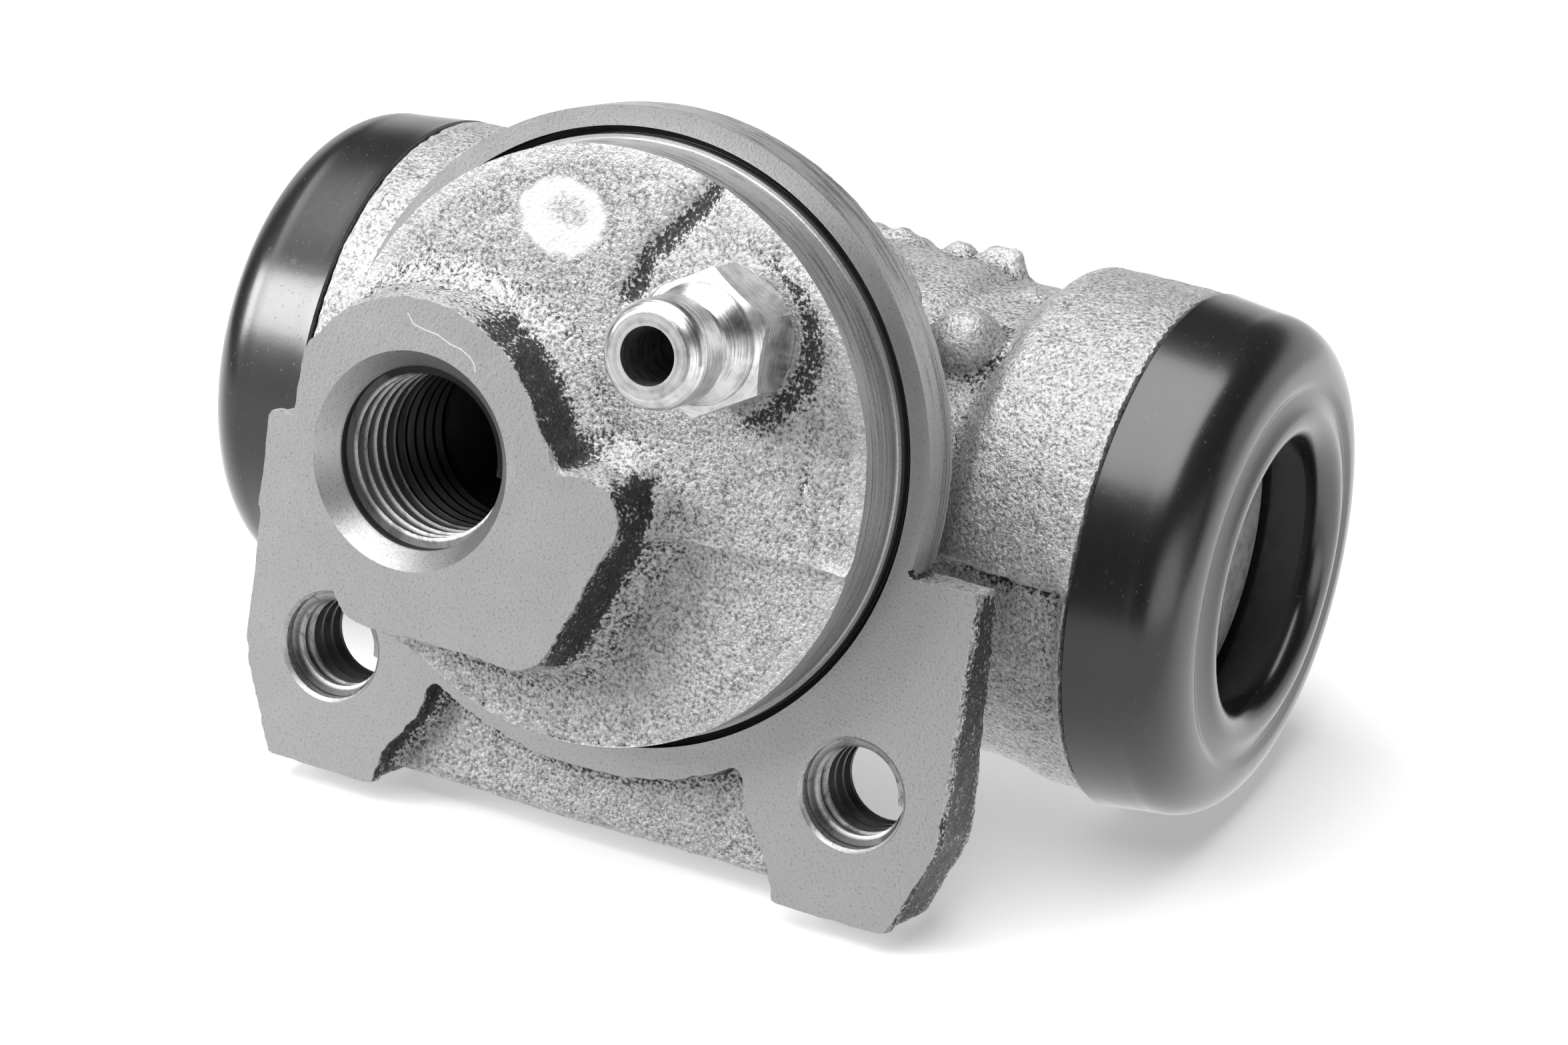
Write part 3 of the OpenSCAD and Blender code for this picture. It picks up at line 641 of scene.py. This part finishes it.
class CastingOperator(Operator):
    """Sand-cast body with its machined faces and holes"""

    bl_idname = "wheel_cylinder.casting"
    bl_label = "Casting"

    def execute(self, context):
        s = context.scene.wheel_cylinder_casting
        skin = cast_skin_finish(s)
        casting = self.blank(s, skin)
        self.skin(casting, s)
        self.machine(casting, s)
        self.hollows(casting)
        shaded(casting)
        stood_for(casting, "housing", "casting", "body")
        return {"FINISHED"}

    def blank(self, s, skin):
        """The casting before machining: the solid with its bores filled, as one rounded skin."""
        bm = bmesh.new()
        bm.from_mesh(frame["nodes"]["body"].data)
        bmesh.ops.remove_doubles(bm, verts=bm.verts, dist=WELD)
        blank = mesh_object("casting", bm, skin)
        for number, fill in enumerate(self.fills(s)):
            combined(blank, mesh_object(f"fill_{number}", fill), "UNION")
        remesh = blank.modifiers.new("skin", "REMESH")
        remesh.mode = "VOXEL"
        remesh.voxel_size = s.voxel
        soften = blank.modifiers.new("soften", "SMOOTH")
        soften.factor = 0.5
        soften.iterations = 2
        applied(blank)
        finished(blank, skin)
        return blank

    def fills(self, s):
        """Fillings of the bore, the inlet, the bleed hole, the relief groove and the mounting holes."""
        half = s.barrel_half
        bore_r = s.mouth_r + 0.3 * MM
        bleed_r = s.bleed_r * 1.03
        bleed_end = -8 * MM
        inner, outer, deep = s.pilot_r - MM, s.groove_r + MM / 3, -2 * s.groove_depth
        fills = [
            on_bore([(0, -half), (bore_r, -half), (bore_r, half), (0, half)]),
            self.plug(PORT, s.port_mouth_r, s.boss_h, s.port_r, -s.port_depth),
            self.plug(SCREW, bleed_r, s.pilot_h, bleed_r, bleed_end),
            on_face([(inner, deep), (outer, deep), (outer, 0), (inner, 0)]),
        ]
        for hole in HOLES.values():
            fills.append(self.plug(hole, s.hole_mouth_r, 0, s.hole_mouth_r, -s.hole_len))
        return fills

    def plug(self, centre, mouth_r, mouth, end_r, end):
        """Filling of a hole, from its mouth to its end."""
        return on_face([(0, mouth), (mouth_r, mouth), (end_r, end), (0, end)], centre)

    def skin(self, casting, s):
        """Machining allowance, the mould's parting step, cast lumps, scars and the sand's relief."""
        mesh = casting.data
        place = vectors(mesh, "co")
        normal = vectors(mesh, "normal")
        x, y, z = (place / MM).T
        radius = np.hypot(x, z)
        relief = self.relief(place / MM, normal)
        moved = place + normal * relief[:, None] * MM
        near = 0.6
        wall = (radius > PILOT_R - 0.7) & (radius < PILOT_R + near) & (y > -4.6) & (y < 0.5)
        rim = (abs(radius - s.rim_r / MM) < near) & (z > s.ear_top / MM + 0.5)
        rim &= (y > -near) & (y < s.rim_t / MM - 0.1)
        for side in (wall, rim):
            for axis, out in ((0, x), (2, z)):
                moved[side, axis] += out[side] / radius[side] * s.allowance
        moved += self.outlines(place / MM, normal, s) * MM
        ahead = normal[:, 1] < -0.7
        level = 0.4
        mounting_face = ahead & (abs(y) < level) & (radius > PILOT_R + 0.2)
        boss_face = ahead & (abs(y + s.boss_h / MM) < level)
        moved[mounting_face, 1] = -s.allowance
        moved[boss_face, 1] = -s.boss_h - s.allowance
        mesh.vertices.foreach_set("co", moved.ravel())
        mesh.update()

    def outlines(self, mm, normal, s):
        """Moves that keep the outlines of the ears and give the boss its narrow right side."""
        x, y, z = mm.T
        flat = np.maximum(np.hypot(normal[:, 0], normal[:, 2]), 0.3)
        ears = ramp(np.hypot(x, z) - s.rim_r / MM, 0.8, 2.3) * (y > -0.6) * (y < 1)
        port = PORT / MM
        across, up = x - port.x, z - port.z
        gap = np.maximum(np.hypot(across, up), 1)
        angle = np.degrees(np.arctan2(up, across))
        boss = ramp(y, -4.2, -5.4) * (gap > 6.5) * (angle > BOSS_ANGLES[0])
        push = np.interp(angle, BOSS_ANGLES, BOSS_MOVES) * boss
        move = np.zeros_like(mm)
        for axis, out in ((0, across), (2, up)):
            move[:, axis] = EAR_MOVE * ears * normal[:, axis] / flat + push * out / gap
        return move

    def relief(self, mm, normal):
        """Height of the cast skin over the solid, in millimetres."""
        x, y, z = mm.T
        sand = np.empty(len(mm))
        for i, point in enumerate(mm):
            at = Vector(point)
            sand[i] = sum(rise * noise.noise(at * scale) for rise, scale in SAND)
        boss_flank = (y < -4.4) & (abs(normal[:, 1]) < 0.6)
        height = sand * np.where(boss_flank, FLANK_ROUGH, 1.0)
        front = (normal[:, 1] < -0.6) & (y < -3.4) & (y > -5.2)
        above = z - LINE_Z - LINE_SLOPE * (x - LINE_X)
        draft = np.where(above > 0, UPPER_DRAFT, LOWER_DRAFT) * abs(above)
        height -= np.where(front, draft + np.where(above < 0, LINE_STEP, 0), 0)
        ridge = RIDGE_RISE * np.exp(-((above / RIDGE_WIDTH) ** 2))
        height += np.where(front & (x > 3), ridge, 0)
        over = z - BORE_Z / MM
        seam = np.exp(-((over / SEAM_WIDTH) ** 2)) * (abs(y) > 3.2) * (abs(normal[:, 1]) < 0.98)
        height += SEAM_RISE * seam
        collar = ramp(abs(x), 18.5, 20) * ramp(abs(x), 24.4, 23.5) * (y > 6)
        height -= COLLAR_STEP * collar * ramp(over, -0.1, -0.45)
        for points, depth, width in SCARS:
            scar = depth * self.stroke(x + sand * 2, z - sand * 3, points, width)
            height -= np.where(front, scar, 0)
        for px, py, pz, rise, size in LUMPS:
            gap = (x - px) ** 2 + (y - py) ** 2 + (z - pz) ** 2
            height += rise * np.exp(-((gap / size**2) ** 2))
        return height

    def hollows(self, casting):
        """Stores where shade is painted: how far a point is below its surroundings in millimetres, and
        more on the flanks to the right, over the boss, in the crease and as the bleed screw's shadow to
        its right."""
        mesh = casting.data
        place = vectors(mesh, "co")
        ends = np.empty(len(mesh.edges) * 2, int)
        mesh.edges.foreach_get("vertices", ends)
        a, b = ends.reshape(-1, 2).T
        count = len(place)
        degree = np.bincount(ends, minlength=count)
        even = place.copy()
        rounds = 14
        for _ in range(rounds):
            for axis in range(3):
                row = even[:, axis]
                total = np.bincount(a, row[b], count) + np.bincount(b, row[a], count)
                even[:, axis] = (row + total / degree) / 2
        normal = vectors(mesh, "normal")
        depth = ((even - place) * normal).sum(axis=1) / MM
        x, y, z = (place / MM).T
        # Painted shade on steep flanks turned to the right, away from the light, and on the boss's
        # upward flanks
        steep = ramp(abs(normal[:, 1]), 0.8, 0.4) * ramp(y, 8, 4)
        depth += FLANK_SHADE * steep * ramp(normal[:, 0], 0.3, 0.7)
        depth += TOP_SHADE * steep * ramp(normal[:, 2], 0.3, 0.7) * (y < -4.2)
        # Painted shade along the crease, which lies in shadow
        front = (normal[:, 1] < -0.5) & (y < -3)
        crease, _, width = SCARS[0]
        depth += np.where(front, CREASE_SHADE * self.stroke(x, z, crease, width * 1.5), 0)
        # Painted shadow of the bleed screw on the pilot face to its right
        screw = SCREW / MM
        across = x - screw.x
        gap = np.hypot(across, z - screw.z)
        halo = ramp(gap, 6.0, 4.7) * ramp(across, -0.8, 3.2)
        depth += np.where(front, SCREW_SHADOW * halo, 0)
        mesh.attributes.new(PAINTED_SHADE_DEPTH, "FLOAT", "POINT").data.foreach_set("value", depth)

    def stroke(self, x, z, points, width):
        """A soft stroke through points of a face: 1 on its line and 0 beside it."""
        gap = np.full(len(x), np.inf)
        for (x0, z0), (x1, z1) in zip(points, points[1:]):
            run = (x1 - x0) ** 2 + (z1 - z0) ** 2
            t = np.clip(((x - x0) * (x1 - x0) + (z - z0) * (z1 - z0)) / run, 0, 1)
            gap = np.minimum(gap, np.hypot(x - x0 - t * (x1 - x0), z - z0 - t * (z1 - z0)))
        return np.exp(-((gap / width) ** 2))

    def machine(self, casting, s):
        """Turning, drilling and boring with tools that leave their own finish."""
        fine = {"lines": 3.0, "depth": 0.05, "roughness": 0.34}
        # The finishes carry painted shade: in the relief groove, and in the depths, thread roots and
        # upper right walls of the inlet and the holes
        turned_iron = machined_finish(s, "turned_iron", 2.4, 0.09, 0.3, groove_shade)
        bored_iron = machined_finish(s, "bored_iron", **fine)
        inlet_iron = machined_finish(s, "inlet_iron", **fine, painted_shade=inlet_shade)
        hole_iron = machined_finish(s, "hole_iron", **fine, painted_shade=hole_shade)
        # Tools reach past the part, sideways and ahead; the pilot keeps a small root at its land, and
        # the rim's tool stays over the ears
        far = 40 * MM
        clear = 12 * MM
        root = 0.08 * MM
        over = 0.3 * MM
        facing = on_face([
            (s.pilot_r, clear), (s.pilot_r, s.land_h + root), (s.pilot_r + root, s.land_h),
            (s.land_r, s.land_h), (s.land_r, -s.groove_depth), (s.groove_r, -s.groove_depth),
            (s.groove_r, 0), (far, 0), (far, clear),
        ], segments=2 * FACE_SEGMENTS)
        rim = over_ears(s.rim_r, s.ear_top + over, far, clear, s.rim_t)
        boss = on_face([(0, s.boss_h), (far, s.boss_h), (far, clear), (0, clear)], segments=64)
        sink_r = s.port_mouth_r + 0.6 * MM
        inlet_end = s.boss_h - s.port_depth
        inlet_tip = inlet_end - 0.6 * s.port_r
        inlet = on_face([
            (0, s.boss_h + MM), (sink_r, s.boss_h + MM), (s.port_r, s.boss_h - s.port_sink),
            (s.port_r, inlet_end), (0, inlet_tip),
        ], PORT)
        bleed_end, bleed_tip = -6 * MM, -7.65 * MM
        bleed = on_face([(0, clear), (s.bleed_r, clear), (s.bleed_r, bleed_end), (0, bleed_tip)], SCREW)
        half = s.barrel_half
        bevel = 2.8 * MM
        bore = on_bore([
            (0, -half - MM), (s.mouth_r, -half - MM), (s.mouth_r, -half), (s.bore_r, bevel - half),
            (s.bore_r, half - bevel), (s.mouth_r, half), (s.mouth_r, half + MM), (0, half + MM),
        ])
        tools = [
            (facing, turned_iron), (rim, turned_iron), (boss, turned_iron), (inlet, inlet_iron),
            (bleed, bored_iron), (bore, bored_iron),
        ]
        hole_sink = s.hole_mouth_r - s.hole_r
        through = -9 * MM
        past_end = half + 2 * MM
        for side, sign in SIDES.items():
            hole = on_face([
                (0, MM), (s.hole_mouth_r + MM, MM), (s.hole_r, -hole_sink), (s.hole_r, through),
                (0, through),
            ], HOLES[side], 64)
            spigot = on_bore([
                (s.spigot_r, s.shoulder_x), (far, s.shoulder_x), (far, past_end), (s.spigot_r, past_end),
            ], sign)
            tools += [(hole, hole_iron), (spigot, bored_iron)]
        for number, (tool, finish) in enumerate(tools):
            combined(casting, mesh_object(f"tool_{number}", tool, finish))


def thread(name, centre, start, turns, pitch, major, core, finish, steps=56):
    """Ridge of an inside thread, wound with its pitch from a height ahead of the mounting face."""
    bm = bmesh.new()
    root = 0.44 * pitch
    crest = 0.13 * pitch
    profile = [(major, -root), (major, root), (core, crest), (core, -crest)]
    out = Vector((1, 0, 0))
    points = [bm.verts.new(centre + out * r + AHEAD * (start + h)) for r, h in profile]
    section = bm.faces.new(points)
    bmesh.ops.spin(
        bm, geom=[section], cent=centre, axis=AHEAD, angle=math.tau * turns,
        steps=int(steps * turns), dvec=-AHEAD * pitch / steps,
    )
    bmesh.ops.recalc_face_normals(bm, faces=bm.faces)
    ridge = mesh_object(name, bm, finish)
    shaded(ridge, 30)
    stood_for(ridge, "housing", "casting")


class ThreadsOperator(Operator):
    """Threads of the inlet and of the mounting holes"""

    bl_idname = "wheel_cylinder.threads"
    bl_label = "Threads"

    def execute(self, context):
        s = context.scene.wheel_cylinder_casting
        # Painted shade in the thread roots and on the upper right walls of the holes and the inlet
        cut = machined_finish(s, "thread_iron", 1.0, 0.02, 0.28, hole_shade)
        deep = machined_finish(s, "inlet_thread_iron", 1.0, 0.02, 0.28, inlet_shade)
        pitch = MM
        sunk = 0.02 * MM
        port_start, port_turns = s.boss_h - s.port_sink - 0.5 * pitch, 10
        hole_start, hole_turns = -0.7 * pitch, 5.2
        thread(
            "inlet_thread", PORT, port_start, port_turns, pitch, s.port_r + sunk, PORT_CORE_R * MM, deep,
        )
        for side, hole in HOLES.items():
            thread(
                f"mounting_thread_{side}", hole, hole_start, hole_turns, pitch, s.hole_r + sunk,
                HOLE_CORE_R * MM, cut, steps=40,
            )
        return {"FINISHED"}


class BootsOperator(Operator):
    """Rubber dust boots with their rolled mouths and inner sleeves"""

    bl_idname = "wheel_cylinder.boots"
    bl_label = "Dust boots"

    def execute(self, context):
        s = context.scene.wheel_cylinder_boots
        rubber = rubber_finish(s, "boot_rubber", 0.19)
        for side, sign in SIDES.items():
            self.boot(s, side, sign, rubber)
        return {"FINISHED"}

    def boot(self, s, side, sign, rubber):
        """One boot: a shell from the collar to the fold in its mouth, and a sleeve on the piston."""
        seat_x = abs(MOUNTS[f"shoe_seat_{side}"]["pos_m"][0])
        face_x = s.face_x + seat_x - SEAT_X
        front = face_x - s.round
        band_end = s.band_r - s.taper
        steps = 10
        band = [
            (s.band_r + (band_end - s.band_r) * i / steps, s.band_x + (front - s.band_x) * i / steps)
            for i in range(steps)
        ]
        line = 0.28 * MM
        line_r = s.mouth_r + 2 * s.bead_r + line
        bead_x = face_x + s.bead_rise - s.bead_r
        throat_x = bead_x - 0.4 * MM
        hollow_x = face_x - s.wall
        hollow_r = s.band_in - 0.5 * MM
        corner = 1.6 * MM
        fold = 0.6 * MM
        fold_r = s.mouth_r + s.sleeve_t
        end_x = 26.1 * MM
        edge = [(s.band_in, s.band_x), (s.band_r - 0.15 * MM, s.band_x)]
        shell = (
            edge + [(r, x + 0.1 * MM if i == 0 else x) for i, (r, x) in enumerate(band)]
            + arc(band_end - s.round, front, s.round, 0, 90, 24)
            + [(line_r + 1.6 * line, face_x), (line_r + 0.6 * line, face_x - 0.6 * line),
               (line_r - 0.4 * line, face_x - 0.6 * line)]
            + arc(s.mouth_r + s.bead_r, bead_x, s.bead_r, 62, 180, 14)
            + [(s.mouth_r, throat_x), (fold_r + fold, hollow_x - fold), (fold_r + 2 * fold, hollow_x),
               (hollow_r - corner, hollow_x), (hollow_r, hollow_x - corner),
               (hollow_r, end_x + 0.5 * MM), (s.band_in, end_x)]
        )
        boot = mesh_object(f"dust_boot_{side}_shell", on_bore(shell, sign), rubber)
        shaded(boot, 50)
        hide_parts(f"dust_boot_{side}")
        end = ((hollow_x - fold) * sign, BORE_Y, BORE_Z)
        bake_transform(boot)
        lip_x = seat_x - 2.1 * MM
        groove_x = seat_x - 1.1 * MM
        lead_x = seat_x + 0.4 * MM
        lip_out, groove_out, lead_out = 0.2 * MM, 0.45 * MM, s.sleeve_t - 0.1 * MM
        sleeve = [
            (s.mouth_r, throat_x), (s.nose_r, lead_x), (s.nose_r, groove_x), (s.lip_r, groove_x),
            (s.lip_r, lip_x), (s.nose_r + lip_out, lip_x), (s.nose_r + groove_out, groove_x),
            (s.nose_r + lead_out, lead_x), (fold_r + fold, hollow_x - fold),
        ]
        inner = mesh_object(f"dust_boot_{side}_sleeve", on_bore(sleeve, sign), rubber)
        shaded(inner, 40)
        stood_for(inner, f"piston_{side}_unit", "boot")


class BleederOperator(Operator):
    """Plated bleed screw with its hexagon and grooved nipple"""

    bl_idname = "wheel_cylinder.bleeder"
    bl_label = "Bleed screw"

    def execute(self, context):
        finish = plated_finish("plated_steel", 0.88, 0.24, SCREW, bore=False)
        finished(frame["nodes"]["bleed_screw"], finish)
        return {"FINISHED"}


class InnerPartsOperator(Operator):
    """Finishes of the pistons, cups and spring seats inside the bore"""

    bl_idname = "wheel_cylinder.inner_parts"
    bl_label = "Inner parts"

    def execute(self, context):
        boots = context.scene.wheel_cylinder_boots
        piston = plated_finish("turned_piston", 0.95, 0.5, BORE, metallic=0.3)
        cup = rubber_finish(boots, "cup_rubber", 0.4)
        seat = plated_finish("pressed_seat", 0.6, 0.3, BORE)
        finishes = {"piston": piston, "cup_seal": cup, "spring_seat": seat}
        for name, node in frame["nodes"].items():
            for start, finish in finishes.items():
                if name.startswith(start):
                    finished(node, finish)
        return {"FINISHED"}


class SpringOperator(Operator):
    """Return spring, wound in two halves"""

    bl_idname = "wheel_cylinder.spring"
    bl_label = "Return spring"

    def execute(self, context):
        s = context.scene.wheel_cylinder_spring
        finish = plated_finish("spring_wire", 0.45, 0.35, BORE)
        lo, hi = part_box("return_spring")
        ends = {"left": lo.x + s.wire / 2, "right": hi.x - s.wire / 2}
        radius = (hi.z - lo.z - s.wire) / 2
        for side, end in ends.items():
            coil = self.half(s, f"return_spring_{side}", finish, radius, end)
            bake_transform(coil)
        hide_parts("return_spring")
        return {"FINISHED"}

    def half(self, s, name, finish, radius, end):
        """Half of the coil, wound from the middle to one end."""
        bm = bmesh.new()
        across = Matrix.Rotation(math.pi / 2, 4, "X")
        wire = bmesh.ops.create_circle(
            bm, cap_ends=True, segments=12, radius=s.wire / 2, matrix=across
        )
        bmesh.ops.translate(bm, verts=wire["verts"], vec=BORE + UP * radius)
        turns = s.turns / 2
        steps = round(36 * turns)
        bmesh.ops.spin(
            bm, geom=bm.faces[:], cent=BORE, axis=(1, 0, 0), steps=steps,
            angle=math.copysign(math.tau * turns, end), dvec=(end / steps, 0, 0),
        )
        bmesh.ops.recalc_face_normals(bm, faces=bm.faces)
        coil = mesh_object(name, bm, finish)
        shaded(coil, 50)
        return coil


class StageOperator(Operator):
    """Floor, light and camera"""

    bl_idname = "wheel_cylinder.stage"
    bl_label = "Stage"

    def execute(self, context):
        s = context.scene.wheel_cylinder_stage
        scene = context.scene
        scene.view_settings.view_transform = "Standard"
        self.floor(s)
        self.camera(s, scene)
        self.lamps()
        self.world(scene)
        return {"FINISHED"}

    def slope(self, s):
        """Turn of the floor from level."""
        return Matrix.Rotation(s.lean, 3, "X")

    def floor(self, s):
        """Round pale floor under the ears and the boots, sloped as the part leans."""
        lo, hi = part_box("dust_boot_right")
        radius = (hi.z - lo.z) / 2
        normal = self.slope(s) @ UP
        base = BORE - normal * radius
        bm = bmesh.new()
        bmesh.ops.create_circle(bm, cap_ends=True, segments=96, radius=s.floor_r)
        bmesh.ops.rotate(bm, verts=bm.verts, cent=(0, 0, 0), matrix=self.slope(s))
        bmesh.ops.translate(bm, verts=bm.verts, vec=base)
        f = Finish("floor")
        camera, glossy = f.rays()
        pale = f.mix(s.floor_tone, FLOOR_LIGHT_TONE, f.noise(0.02, 2, 0.5))
        diffuse = f.node("ShaderNodeBsdfDiffuse", None, {"Color": f.mix(s.bounce_tone, pale, camera)})
        behind = f.y.above(-5, 25)
        strength = camera * 0.34 + glossy * (behind * 0.9 + 0.5)
        glow = f.node("ShaderNodeEmission", None, {"Strength": strength})
        both = f.node("ShaderNodeAddShader", None, {0: diffuse, 1: glow})
        f.node("ShaderNodeOutputMaterial", None, {"Surface": both})
        floor = mesh_object("floor", bm, f.material)

    def camera(self, s, scene):
        """The camera at the photograph's place, turned about the vertical, tilted and rolled."""
        data = bpy.data.cameras.new("camera")
        data.sensor_fit = "HORIZONTAL"
        data.angle = s.view
        data.clip_start = 0.01
        data.clip_end = 10
        camera = bpy.data.objects.new("camera", data)
        scene.collection.objects.link(camera)
        turn_up = Matrix.Rotation(math.pi / 2 - s.elevation, 3, "X")
        rotation = Matrix.Rotation(s.azimuth, 3, "Z") @ turn_up @ Matrix.Rotation(s.roll, 3, "Z")
        camera.matrix_world = Matrix.Translation(s.eye) @ rotation.to_4x4()
        scene.camera = camera

    def lamps(self):
        """Soft boxes that face the part, their widths level."""
        for name, place, size, power in LAMPS:
            data = bpy.data.lights.new(name, "AREA")
            data.shape = "RECTANGLE"
            data.size, data.size_y = (side * MM for side in size)
            data.energy = power
            lamp = bpy.data.objects.new(name, data)
            away = Vector(place).normalized()
            level = (Vector((1, 0, 0)) - away * away.x).normalized()
            facing = Matrix((level, away.cross(level), away)).transposed().to_4x4()
            lamp.matrix_world = Matrix.Translation(Vector(place) * MM) @ facing
            bpy.context.scene.collection.objects.link(lamp)

    def world(self, scene):
        """White to the camera. To other rays a pale screen behind the part, a card and a low light at
        its right, and a soft grey all round."""
        f = Finish("studio", "worlds")
        camera, glossy = f.rays()
        right, back, height = f.parts(f.place)
        screen = back.above(0.15, 0.5) * height.above(0.55, 0.35)
        card = right.above(0.3, 0.75) * back.above(0.2, -0.1) * height.above(0.4, 0.2)
        low_right = (right * 0.78 - back * 0.59 - height * 0.23).above(0.86, 0.96)
        light = screen * (glossy * 0.7 + 0.3) + card * 0.5 + low_right * 1.2 + 0.05
        strength = camera + (1 - camera) * light
        studio = f.node("ShaderNodeBackground", None, {"Color": (1, 1, 1, 1), "Strength": strength})
        f.node("ShaderNodeOutputWorld", None, {"Surface": studio})
        scene.world = f.material


class WheelCylinderPanel(Panel):
    """Buttons for the pieces and their sizes"""

    bl_idname = "VIEW3D_PT_wheel_cylinder"
    bl_label = "Wheel cylinder"
    bl_space_type = "VIEW_3D"
    bl_region_type = "UI"
    bl_category = "Wheel cylinder"

    def draw(self, context):
        """Lists the operators, then the settings."""
        for operator in PIECES:
            self.layout.operator(operator.bl_idname)
        for name in GROUPS:
            group = getattr(context.scene, name)
            for key in group.__annotations__:
                self.layout.prop(group, key)


PIECES = [
    CastingOperator, ThreadsOperator, BootsOperator, BleederOperator, InnerPartsOperator,
    SpringOperator, StageOperator,
]
GROUPS = {
    "wheel_cylinder_casting": CastingSettings,
    "wheel_cylinder_boots": BootSettings,
    "wheel_cylinder_spring": SpringSettings,
    "wheel_cylinder_stage": StageSettings,
}


def register():
    """Adds the settings, the operators and the panel."""
    for name, group in GROUPS.items():
        bpy.utils.register_class(group)
        setattr(bpy.types.Scene, name, PointerProperty(type=group))
    for operator in PIECES:
        bpy.utils.register_class(operator)
    bpy.utils.register_class(WheelCylinderPanel)


def unregister():
    """Takes them away again."""
    bpy.utils.unregister_class(WheelCylinderPanel)
    for operator in reversed(PIECES):
        bpy.utils.unregister_class(operator)
    for name, group in reversed(GROUPS.items()):
        delattr(bpy.types.Scene, name)
        bpy.utils.unregister_class(group)


def main():
    """Makes every piece and the stage."""
    register()
    for operator in PIECES:
        group, name = operator.bl_idname.split(".")
        getattr(getattr(bpy.ops, group), name)()


if __name__ == "__main__":
    main()
